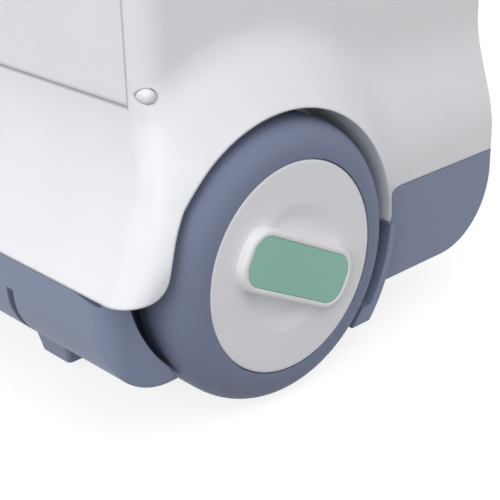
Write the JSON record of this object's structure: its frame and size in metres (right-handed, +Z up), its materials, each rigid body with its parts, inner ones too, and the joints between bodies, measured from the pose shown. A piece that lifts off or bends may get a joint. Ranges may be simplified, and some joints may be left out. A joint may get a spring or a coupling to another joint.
{
  "type": "toy medical station",
  "caption": "Wheeled toy cabinet with a flared body on a rounded tub, two large side wheels, a drop-down front door, a turn latch, a shelf and a pull-out handle.",
  "frame": {"origin": "on the ground under the middle of the part's bounding box, midway between the two wheels", "axes": "+Z up, -Y towards the drop-down door in front, +X through the wheel that the picture shows"},
  "size_m": [0.3274, 0.2086, 0.4163],
  "materials": {
    "white_plastic": "satin moulded",
    "cap_white_plastic": "fine matt moulded",
    "grey_blue_plastic": "satin moulded",
    "tyre_plastic": "matt, soft",
    "teal_plastic": "satin moulded",
    "inner_plastic": "satin moulded",
    "steel": "drawn and zinc plated"
  },
  "bodies": {
    "frame": {"body_shell": "white_plastic", "base_tub": "grey_blue_plastic", "cabinet_floor": "inner_plastic", "shelf": "teal_plastic", "front_foot_right": "grey_blue_plastic", "front_foot_left": "grey_blue_plastic", "rear_foot_right": "grey_blue_plastic", "rear_foot_left": "grey_blue_plastic", "front_screw_right": "steel", "front_screw_left": "steel", "rear_screw_right": "steel", "rear_screw_left": "steel", "axle": "steel", "axle_nut_right": "steel", "axle_nut_left": "steel", "hinge_pin_right": "white_plastic", "hinge_pin_left": "white_plastic", "handle_sleeve_right": "inner_plastic", "handle_sleeve_left": "inner_plastic"},
    "wheel_right": {"tyre_right": "tyre_plastic", "rim_right": "inner_plastic", "hub_cap_right": "cap_white_plastic", "badge_bar_right": "cap_white_plastic", "badge_plate_right": "teal_plastic"},
    "wheel_left": {"tyre_left": "tyre_plastic", "rim_left": "inner_plastic", "hub_cap_left": "cap_white_plastic", "badge_bar_left": "cap_white_plastic", "badge_plate_left": "teal_plastic"},
    "door": {"front_door": "white_plastic"},
    "latch": {"latch_knob": "teal_plastic", "latch_tongue": "inner_plastic"},
    "handle": {"handle_tube_right": "steel", "handle_tube_left": "steel", "handle_grip": "grey_blue_plastic"},
    "button": {"handle_button": "teal_plastic"}
  },
  "joints": [
    {"name": "wheel_right_spin", "type": "hinge", "parent": "frame", "child": "wheel_right", "pos_m": [0.148, -0.0289, 0.054], "axis": [1, 0, 0], "continuous": true},
    {"name": "wheel_left_spin", "type": "hinge", "parent": "frame", "child": "wheel_left", "pos_m": [-0.148, -0.0289, 0.054], "axis": [1, 0, 0], "continuous": true},
    {"name": "door_swing", "type": "hinge", "parent": "frame", "child": "door", "pos_m": [0, -0.0729, 0.1232], "axis": [1, 0, 0], "range_deg": [0, 90]},
    {"name": "latch_turn", "type": "hinge", "parent": "door", "child": "latch", "pos_m": [0, -0.0769, 0.353], "axis": [0, -1, 0], "range_deg": [0, 90]},
    {"name": "handle_pull", "type": "slide", "parent": "frame", "child": "handle", "axis": [0, 0, 1], "range_m": [0, 0.2]},
    {"name": "button_press", "type": "slide", "parent": "handle", "child": "button", "axis": [0, 0, -1], "range_m": [0, 0.0025], "stiffness_N_per_m": 400, "springref_m": -0.001}
  ]
}
